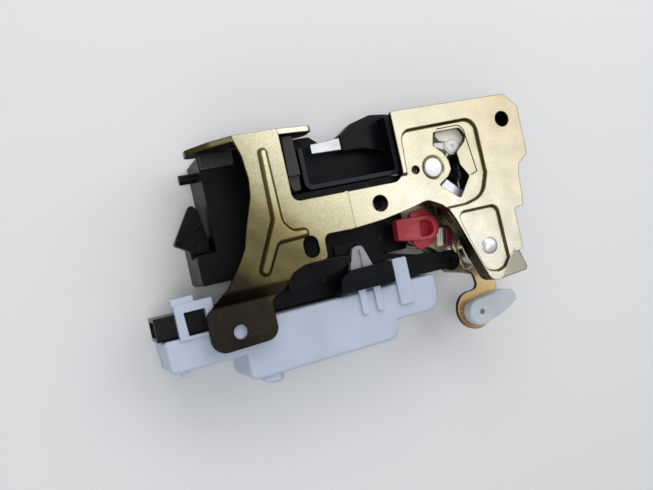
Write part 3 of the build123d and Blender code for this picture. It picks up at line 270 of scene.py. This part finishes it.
def gold_zinc(bands, run, rough=(0.24, 0.38), edge=0.45):
    """Passivated zinc: bands are the tints met along run, two values of X + 0.9 Y in mm; for the plate and
    the pale lever gold they also hold painted shade and painted light.
    """
    def build(nodes, links, shader):
        cloud = noise(nodes, links, 24, 3)
        speck = noise(nodes, links, 2000, 2)
        # painted light: the tints along run hold painted shade and painted reflection besides the film's
        # colour
        tint = ramp(nodes, links, along(nodes, links, *run), bands)
        drift = ramp(nodes, links, cloud, [(0.28, (0.86, 0.83, 0.74)), (0.70, (1, 1, 1))])
        fleck = ramp(nodes, links, speck, [(0.34, (0.84, 0.82, 0.76)), (0.66, (1.06, 1.06, 1.04))])
        scratch = ramp(nodes, links, noise(nodes, links, 420, 2, (0.12, 1, 0.12)),
                       [(0.0, (1, 1, 1)), (0.66, (1, 1, 1)), (0.76, (1.22, 1.2, 1.1))])
        flat = tinted(nodes, links, tinted(nodes, links, tint, drift), fleck)
        flat = tinted(nodes, links, flat, scratch)
        # painted highlight: faces at 1.5 to 2.4 mm, such as the rib's ridge, are made lighter
        top_painted_highlight = ramp(nodes, links, rise(nodes, links, 1.5, 2.4),
                      [(0.0, (1, 1, 1)), (1.0, (1.3, 1.3, 1.25))])
        flat = tinted(nodes, links, flat, top_painted_highlight)
        # painted shade: leaning walls and the rounded edges beside them are darkened towards brown
        shade = ramp(nodes, links, walls(nodes, links, 0.35, 0.985, 1.0),
                     [(0.0, (0.06, 0.045, 0.025)), (0.70, (0.34, 0.27, 0.14)), (1.0, (1, 1, 1))])
        links.new(tinted(nodes, links, flat, shade), shader.inputs["Base Color"])
        shader.inputs["Metallic"].default_value = 1
        wear = noise(nodes, links, 160, 4)
        links.new(span(nodes, links, wear, *rough), shader.inputs["Roughness"])
        relief(nodes, links, shader, speck, 0.003, edge)
    return build


# painted shade towards the tab at the lower left, painted reflection towards the upper right, over the
# film's tints
plate_gold = look("plate_gold", gold_zinc(
    [(0.0, (0.026, 0.023, 0.021)), (0.07, (0.034, 0.030, 0.024)), (0.12, (0.042, 0.036, 0.025)),
     (0.155, (0.115, 0.098, 0.046)), (0.18, (0.150, 0.130, 0.062)), (0.27, (0.17, 0.145, 0.072)),
     (0.31, (0.27, 0.235, 0.125)), (0.36, (0.52, 0.48, 0.32)), (0.47, (0.69, 0.65, 0.49)),
     (0.60, (0.78, 0.76, 0.70)), (0.72, (0.62, 0.59, 0.50)), (1.0, (0.50, 0.45, 0.35))],
    (-90, 80)))
# painted light: the pale cream tints are partly the steel's own colour, partly painted light where it lies
# in shade under the arch
lever_gold_painted_light = look("lever_gold_painted_light", gold_zinc(
    [(0.0, (0.84, 0.80, 0.62)), (1.0, (0.78, 0.72, 0.52))], (-12, 30)))
copper_gold = look("copper_gold", gold_zinc(
    [(0.0, (0.50, 0.31, 0.16)), (0.5, (0.62, 0.45, 0.24)), (1.0, (0.72, 0.60, 0.38))], (-16, 26)))
print("gold finishes:", plate_gold.name, lever_gold_painted_light.name, copper_gold.name)

# %% [markdown]
# ## Bare and turned steel
# The claw, the pawl, the rivets and the stop are bright steel, the springs are oiled wire, the
# socket's blades are brass, and the motor's can is plain. A noise stretched along one axis reads
# as brushing, and a slow one darkens it in places.

# %% Steel finishes


def bright_steel(colour, rough=(0.22, 0.36), grain=(1, 18, 18)):
    """Bare metal; grain stretches the brushing along the axes."""
    def build(nodes, links, shader):
        brush = noise(nodes, links, 260, 4, grain)
        film = noise(nodes, links, 90, 3)
        dull = tuple(0.72 * c for c in colour)
        links.new(ramp(nodes, links, film, [(0.3, dull), (0.6, colour)]), shader.inputs["Base Color"])
        shader.inputs["Metallic"].default_value = 1
        links.new(span(nodes, links, brush, *rough), shader.inputs["Roughness"])
        relief(nodes, links, shader, brush, 0.010)
    return build


claw_steel = look("claw_steel", bright_steel((0.56, 0.57, 0.58)))
rivet_steel = look("rivet_steel", bright_steel((0.82, 0.82, 0.86), (0.36, 0.50), (1, 1, 1)))
spring_steel = look("spring_steel", bright_steel((0.40, 0.36, 0.28), (0.25, 0.4), (6, 6, 6)))
blade_brass = look("blade_brass", bright_steel((0.80, 0.62, 0.28)))
can_steel = look("can_steel", bright_steel((0.60, 0.60, 0.60)))
print("finishes so far:", len(bpy.data.materials))

# %% [markdown]
# ## Moulded plastics
# The housing and slide are glass-filled black, with a fine spark-eroded grain and pale scuffs. The
# liner's and the grip strip's flat faces get a painted highlight, and the chamber behind the mouth is
# painted darker and almost unreflective, as its shade. The box is a white moulding, a little
# translucent, so it gets some subsurface light; its colour is painted bluish grey, as blue light
# reflected from its surroundings. The white boss is painted paler as light, and the output arm is
# painted grey as shade. The red clip is a glossy nylon.

# %% Plastic finishes


def moulding(colour, rough=(0.34, 0.5), grain=1400, depth=0.012, glow=0.0, edge=0.25, shine=0.5,
             rim=None, scuff=None):
    """Moulded plastic; its flat faces can take a painted highlight, and scuff is the tint of thin
    scratches.
    """
    def build(nodes, links, shader):
        shader.inputs["Specular IOR Level"].default_value = shine
        patch = noise(nodes, links, 70, 4)
        fine = noise(nodes, links, grain, 2)
        pale = tuple(min(1.0, c * 1.10 + 0.003) for c in colour)
        tint = ramp(nodes, links, patch, [(0.35, colour), (0.7, pale)])
        # painted highlight: faces that lie flat are made lighter
        if rim:
            flat = ramp(nodes, links, walls(nodes, links, 0.6, 0.98, 0.3), [(0.0, (0, 0, 0)), (1.0, rim)])
            tint = tinted(nodes, links, tint, flat, mode="ADD")
        if scuff:
            streak = noise(nodes, links, 150, 3, (1, 0.35, 2.2))
            mark = ramp(nodes, links, streak, [(0.0, (0, 0, 0)), (0.69, (0, 0, 0)), (0.75, scuff)])
            tint = tinted(nodes, links, tint, mark, mode="ADD")
        links.new(tint, shader.inputs["Base Color"])
        links.new(span(nodes, links, patch, *rough), shader.inputs["Roughness"])
        if glow:
            shader.inputs["Subsurface Weight"].default_value = glow
            shader.inputs["Subsurface Radius"].default_value = (1, 0.95, 0.85)
            shader.inputs["Subsurface Scale"].default_value = 0.8 * MM
        relief(nodes, links, shader, fine, depth, edge)
    return build


black_grain = look("black_grain", moulding(
    (0.002, 0.0026, 0.004), (0.30, 0.44), shine=0.10, scuff=(0.05, 0.055, 0.06)))
black_satin = look("black_satin", moulding((0.002, 0.0025, 0.004), (0.22, 0.36), 900, 0.006, shine=0.12))
# painted highlight on the liner's flat faces
liner_black = look("liner_black", moulding((0.002, 0.0025, 0.004), (0.22, 0.36), 900, 0.006,
                                           shine=0.12, rim=(0.022, 0.023, 0.027)))
# painted shade: the chamber is made darker and almost unreflective, as the shade in the deep recess
chamber_black_painted_shade = look("chamber_black_painted_shade", moulding(
    (0.0015, 0.0018, 0.003), (0.4, 0.55), 900, 0.006, shine=0.03))
buffer_rubber = look("buffer_rubber", moulding((0.012, 0.012, 0.013), (0.5, 0.7), 700, 0.02))
# painted light: the box's white is made bluish grey, as blue light reflected from its surroundings
box_white_painted_blue_light = look("box_white_painted_blue_light", moulding((0.50, 0.575, 0.70), (0.32, 0.46), 1100, 0.008, 0.25, 0.4))
# painted light: the boss's white is made paler to look lit where the plate shades it
boss_white_painted_light = look("boss_white_painted_light", moulding((0.88, 0.88, 0.88), (0.25, 0.36), 1100, 0.006, 0.3, 0.3))
clip_white = look("clip_white", moulding((0.58, 0.64, 0.70), (0.25, 0.36), 900, 0.008, 0.4, 0.4))
# painted shade: the output arm is made grey to stand for the shade it lies in
arm_grey_painted_shade = look("arm_grey_painted_shade", moulding((0.44, 0.44, 0.47), (0.3, 0.42), 1100, 0.006, 0.2, 0.3))
clip_red = look("clip_red", moulding((0.47, 0.028, 0.048), (0.22, 0.36), 900, 0.006, 0.15, 0.35))
gear_nylon = look("gear_nylon", moulding((0.66, 0.62, 0.48), (0.35, 0.5), 900, 0.006, 0.2))
print("finishes so far:", len(bpy.data.materials))

# %% [markdown]
# ## Finishes on the solids
# Each solid takes one finish. The names on the left are those of the CAD frame.

# %% Assign finishes
finish_of = {
    plate_gold: ["face_plate"],
    lever_gold_painted_light: ["back_plate", "release_lever"],
    copper_gold: ["inside_lever"],
    claw_steel: ["claw", "pawl"],
    rivet_steel: ["claw_rivet", "pawl_rivet", "claw_stop", "pawl_spacer", "gear_shaft",
                  "arm_pin", "worm_shaft"],
    spring_steel: ["claw_spring", "pawl_spring"],
    black_grain: ["latch_housing", "arm_cover", "knob_lever", "knob_pin"],
    black_satin: ["claw_overmould", "lock_slide", "socket"],
    liner_black: ["mouth_liner"],
    buffer_rubber: ["bumper"],
    box_white_painted_blue_light: ["actuator_box", "actuator_cover"],
    boss_white_painted_light: ["claw_boss"],
    arm_grey_painted_shade: ["output_arm"],
    clip_white: ["inside_clip"],
    clip_red: ["release_clip"],
    gear_nylon: ["worm", "gear_wheel"],
    can_steel: ["motor"],
    blade_brass: ["terminals"],
}
for material, names in finish_of.items():
    for name in names:
        parts[name].data.materials.clear()
        parts[name].data.materials.append(material)
left_over = sorted(set(parts) - {name for names in finish_of.values() for name in names})
print("parts with no finish:", left_over)

# %% [markdown]
# ## Small moulded and pressed pieces
# The pieces that follow are flat-topped forms with rounded edges, as moulding and pressing
# leave them. A filled 2D curve gives exactly that: an outline, holes, a thickness and a bevel
# round every edge. The curve is then turned into a mesh and its points are welded, so each
# layer is one closed skin. A piece is a stack of such layers that rides on one moving body.

# %% Helpers for outlines and flat pieces
added = []          # names of the pieces made so far
weld = 0.002        # points nearer than this, in millimetres, are joined


def rounded(corners, steps=6):
    """A closed outline, in millimetres, from (x, y, radius) corners."""
    points = []
    for k, (x, y, radius) in enumerate(corners):
        here = Vector((x, y))
        before = (Vector(corners[k - 1][:2]) - here).normalized()
        after = (Vector(corners[(k + 1) % len(corners)][:2]) - here).normalized()
        if radius == 0:
            points.append((x, y))
            continue
        half = before.angle(after) / 2
        start = here + before * radius / tan(half)
        middle = here + (before + after).normalized() * radius / sin(half)
        first = atan2(start.y - middle.y, start.x - middle.x)
        end = here + after * radius / tan(half)
        last = atan2(end.y - middle.y, end.x - middle.x)
        turn = (last - first + pi) % (2 * pi) - pi
        for step in range(steps + 1):
            angle = first + turn * step / steps
            points.append((middle.x + radius * cos(angle), middle.y + radius * sin(angle)))
    return points


def ring(x, y, radius, count=36):
    """A round outline, in millimetres."""
    return [(x + radius * cos(2 * pi * k / count), y + radius * sin(2 * pi * k / count))
            for k in range(count)]


def place_piece(name, layers, material, body, frame_of=None, crease=35):
    """Build a piece from layers of (low, high, edge, outlines), in millimetres, on a body.

    frame_of is a matrix in millimetres that lays the piece's own XY plane and Z where it goes.
    """
    whole = bmesh.new()
    for low, high, edge, outlines in layers:
        sketch = bpy.data.curves.new("sketch", "CURVE")
        sketch.dimensions = "2D"
        sketch.fill_mode = "BOTH"
        sketch.extrude = ((high - low) / 2 - edge) * MM
        sketch.bevel_depth = edge * MM
        sketch.bevel_resolution = 2
        sketch.offset = -edge * MM
        for loop in outlines:
            spline = sketch.splines.new("POLY")
            spline.points.add(len(loop) - 1)
            for point, (x, y) in zip(spline.points, loop):
                point.co = (x * MM, y * MM, 0, 1)
            spline.use_cyclic_u = True
        holder = bpy.data.objects.new("sketch", sketch)
        layer = bpy.data.meshes.new_from_object(holder)
        layer.transform(Matrix.Translation((0, 0, (low + high) / 2 * MM)))
        skin = bmesh.new()
        skin.from_mesh(layer)
        bmesh.ops.remove_doubles(skin, verts=skin.verts, dist=weld * MM)
        bmesh.ops.recalc_face_normals(skin, faces=skin.faces)
        skin.to_mesh(layer)
        skin.free()
        whole.from_mesh(layer)
        bpy.data.objects.remove(holder)
        bpy.data.curves.remove(sketch)
        bpy.data.meshes.remove(layer)
    return settle(name, whole, material, body, frame_of, crease)


def settle(name, skin, material, body, frame_of=None, crease=35):
    """Turn a bmesh into a piece with a finish, riding on a body."""
    mesh = bpy.data.meshes.new(name)
    if frame_of is not None:
        skin.transform(Matrix.Scale(MM, 4) @ frame_of @ Matrix.Scale(1 / MM, 4))
    skin.to_mesh(mesh)
    skin.free()
    for face in mesh.polygons:
        face.use_smooth = True
    mesh.set_sharp_from_angle(angle=radians(crease))
    mesh.materials.append(material)
    piece = bpy.data.objects.new(name, mesh)
    bpy.context.scene.collection.objects.link(piece)
    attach(piece, body)
    added.append(name)
    return piece


print("helpers for pieces ready")

# %% [markdown]
# ## The red rod clip
# A clip like this snaps into the release lever's eye and grips the rod from the outside handle.
# It has a thick block with a D-shaped rod hole in a rounded end, a flange round it, and a pin
# that goes through the lever's eye.

# %% Red rod clip
eye = (19.7, -12.6)
clip_body = rounded([(8.5, -6.9, 0.5), (26.0, -7.7, 4.5), (25.4, -17.3, 4.6), (16.8, -16.6, 0.6),
                     (7.9, -14.8, 0.6)])
rod_hole = rounded([(18.1, -9.2, 0.7), (23.6, -9.2, 3.0), (23.4, -15.4, 3.0), (17.3, -15.2, 0.7)])
clip_flange = rounded([(16.4, -5.0, 1.8), (22.4, -4.9, 2.2), (24.4, -7.8, 1.0), (23.4, -18.8, 2.6),
                       (16.2, -20.4, 2.6), (14.9, -16.5, 1.2), (15.2, -7.0, 1.0)])
clip_floor = rounded([(9.6, -7.4, 0.8), (25.0, -8.0, 4.0), (24.6, -16.9, 4.2), (9.0, -14.6, 0.8)])
mould_mark = rounded([(13.0, -12.0, 0.2), (14.8, -12.4, 0.2), (14.7, -12.9, 0.2), (12.9, -12.5, 0.2)])
red_clip = place_piece("red_rod_clip", [
    (-12.6, -8.0, 0.35, [clip_body, rod_hole]),
    (-13.6, -12.4, 0.3, [clip_floor]),
    (-12.2, -10.4, 0.3, [clip_flange, rod_hole]),
    (-15.8, -13.4, 0.3, [ring(*eye, 3.4)]),         # shoulder on the lever
    (-17.8, -15.6, 0.1, [ring(*eye, 2.0)]),         # pin through the lever's eye
    (-8.1, -7.8, 0.1, [mould_mark]),
], clip_red, "release_clip")
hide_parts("release_clip")
print("red clip width in mm:", round(red_clip.dimensions.x / MM, 1))

# %% [markdown]
# ## Beside the red clip
# A dark red buffer sits on the release lever, between a narrow fold and a cheek of the lever's own
# steel. It takes the knock when the lever comes home under the plate's arch.

# %% Lever buffer, fold and cheek
place_piece("lever_buffer", [
    (-16.0, -13.9, 0.4, [rounded([(31.7, -13.9, 0.6), (34.9, -14.6, 0.6), (33.2, -21.4, 0.8),
                                  (30.1, -20.9, 0.8)])]),
], look("buffer_red", moulding((0.16, 0.012, 0.018), (0.25, 0.4), 900, 0.006)), "pawl")
place_piece("lever_fold", [
    (-16.0, -14.3, 0.3, [rounded([(29.6, -13.4, 0.4), (31.2, -13.7, 0.4), (29.6, -20.9, 0.4),
                                  (28.2, -20.6, 0.4)])]),
], rivet_steel, "pawl")
place_piece("lever_cheek", [
    (-15.9, -14.8, 0.3, [rounded([(34.6, -14.0, 1.0), (38.8, -15.0, 1.0), (42.5, -25.0, 3.0),
                                  (41.0, -32.0, 3.0), (36.2, -32.4, 2.0), (33.2, -22.4, 1.5)])]),
], lever_gold_painted_light, "pawl")
print("pieces so far:", len(added))

# %% [markdown]
# ## Behind the right screw hole
# The screw's end runs into a blind pocket, part of the housing's moulding, so the hole reads
# dark from the front. It is an ear with a deep round cup.

# %% Screw pocket
right_screw = (57.0, 22.4)
cup_floor, cup_mouth, cup_r = -15.0, -4.0, 4.3
ear = rounded([(50.5, 28.6, 1.0), (60.6, 28.8, 5.0), (63.4, 17.2, 5.4), (56.5, 15.4, 3.0),
               (50.5, 14.6, 1.0)])
place_piece("screw_pocket", [
    (cup_floor, cup_mouth, 0.3, [ear, ring(*right_screw, cup_r)]),
    (-16.6, -14.8, 0.5, [ear]),
], black_grain, "frame")
print("pocket depth in mm:", cup_mouth - cup_floor)

# %% [markdown]
# ## Round the window
# The panel is coined a second time round the window, and its low step leaves a fine line of shade.
# It is drawn as a low ribbon in dark gold, a painted shadow, that follows the outline. Behind the
# window, the hub carries a web and a post with a hole, both made paler as painted light.

# %% Painted shadow of the coined step, and hub


def ribbon(path, wide):
    """A closed strip, wide millimetres across, along an open path."""
    left_side, right_side = [], []
    for k, point in enumerate(path):
        back_step = Vector(path[max(k - 1, 0)])
        next_step = Vector(path[min(k + 1, len(path) - 1)])
        across = (next_step - back_step).normalized().orthogonal() * wide / 2
        left_side.append(tuple(Vector(point) + across))
        right_side.append(tuple(Vector(point) - across))
    return left_side + right_side[::-1]


coin_turn = rounded([(29.0, 22.9, 0), (40.0, 23.2, 3.2), (42.2, 4.6, 0.6), (39.3, 3.7, 0)])
# painted shadow: the ribbon's dark gold stands for the shade of the coined step
shadow_gold = look("shadow_gold", gold_zinc(
    [(0.0, (0.22, 0.19, 0.10)), (1.0, (0.30, 0.26, 0.15))], (20, 50)))
place_piece("coined_step_painted_shadow", [(-0.10, 0.10, 0.05, [ribbon(coin_turn, 0.42)])], shadow_gold, "frame")
# painted light: the web's cream is made pale to look lit where the plate shades it
hub_cream_painted_light = look("hub_cream_painted_light", moulding((0.92, 0.88, 0.74), (0.3, 0.42), 900, 0.006, 0.25))
place_piece("hub_web", [
    (-3.6, -2.8, 0.2, [rounded([(30.6, 18.8, 0.6), (29.2, 21.2, 0.8), (32.0, 23.2, 1.2), (39.8, 23.0, 2.0),
                                (42.4, 18.6, 1.5), (41.0, 16.2, 0.8), (36.0, 17.4, 0.6)])]),
], hub_cream_painted_light, "claw")
post = (35.6, 15.9)
place_piece("hub_post", [
    (-4.2, -2.5, 0.25, [ring(*post, 2.5), ring(*post, 0.75, 20)]),
    (-3.4, -2.8, 0.15, [ring(*post, 3.1)]),
], boss_white_painted_light, "claw")
print("pieces so far:", len(added))

# %% [markdown]
# ## Round the mouth
# The chamber's rear wall rises in a curve to the right of the mouth, with the rim of the steel
# behind it showing along its edge. A skirt under the plate closes the gap round the liner, and
# a stubby peg stands in the corner of the chamber.

# %% Chamber back, rim, skirt and peg
back_curve = [(-13.0, 26.2), (-7.0, 27.3), (-3.6, 28.3), (-0.4, 29.7), (2.2, 31.2), (5.4, 32.3),
              (10.4, 32.9), (14.4, 33.3)]
place_piece("chamber_back", [
    (-15.6, -13.9, 0.2, [back_curve + [(14.4, 28.0), (-13.0, 24.6)]]),
    (-14.2, -9.0, 0.2, [rounded([(12.4, 33.0, 0.3), (14.4, 33.1, 0.3), (14.4, 28.0, 0), (12.4, 28.0, 0)])]),
], chamber_black_painted_shade, "frame")
rim_path = [(x, y + 0.5) for x, y in back_curve[2:]]
place_piece("chamber_rim", [(-15.2, -13.6, 0.2, [ribbon(rim_path, 0.8)])],
            lever_gold_painted_light, "frame")
place_piece("mouth_skirt", [
    (-4.4, -3.3, 0.1, [[(-30.0, 4.6), (12.7, 4.6), (12.7, 30.5), (11.5, 30.5), (11.5, 9.1), (-30.0, 9.1)]]),
], black_grain, "frame")
place_piece("chamber_peg", [
    (-14.2, -12.3, 0.5, [ring(4.6, 26.6, 1.9)]),
    (-14.2, -11.7, 0.3, [ring(4.6, 26.6, 1.1, 24)]),
], look("peg_steel", bright_steel((0.16, 0.15, 0.13), (0.35, 0.5), (1, 1, 1))), "frame")
print("pieces so far:", len(added))

# %% [markdown]
# ## Under the arch
# To the left of the red clip the housing reaches behind the plate with a flat web that carries
# the lock slide. It hides the steel behind it.

# %% Slide web
web = rounded([(3.0, -3.2, 1.0), (16.2, -3.2, 2.0), (15.6, -18.6, 2.0), (3.0, -18.6, 1.0)])
place_piece("slide_web", [(-20.1, -18.1, 0.3, [web])], black_grain, "frame")
print("pieces so far:", len(added))

# %% [markdown]
# ## The box's foot
# A round foot stands out of the box's lower side, where it rests in the door, with a smaller disc
# on its end. It is drawn upright and then laid over, so that its axis points along -Y.

# %% Box foot
lay_down = Matrix.Translation((-47.6, -51.0, -17.0)) @ Matrix.Rotation(pi / 2, 4, "X")
place_piece("box_foot", [
    (-1.0, 3.1, 0.5, [ring(0, 0, 3.3)]),
    (2.9, 3.4, 0.2, [ring(0, 0, 2.3)]),
], box_white_painted_blue_light, "frame", lay_down)
print("pieces so far:", len(added))

# %% [markdown]
# ## Grip strip
# The top of the housing's left block carries a strip of fine upright teeth, moulded there so that
# a seal sits tight on it.

# %% Grip strip
tooth_step, tooth_wide, tooth_count = 0.6, 0.32, 20
pad = rounded([(-58.5, 24.6, 0.4), (-46.2, 24.6, 0.4), (-46.2, 29.7, 0.4), (-58.5, 29.7, 0.4)])
teeth = [rounded([(x, 25.1, 0.1), (x + tooth_wide, 25.1, 0.1),
                  (x + tooth_wide, 29.5, 0.1), (x, 29.5, 0.1)], 2)
         for x in [-58.1 + tooth_step * k for k in range(tooth_count)]]
# painted highlight on the flat faces of the pad and teeth
grip_black = look("grip_black", moulding((0.004, 0.005, 0.007), (0.3, 0.4), rim=(0.030, 0.032, 0.036)))
place_piece("grip_strip", [(-14.1, -13.3, 0.15, [pad])] +
            [(-13.4, -12.8, 0.08, [tooth]) for tooth in teeth], grip_black, "frame")
print("pieces added:", len(added))

# %% [markdown]
# The last cell brings the view layer up to date.

# %% Finish
bpy.context.view_layer.update()
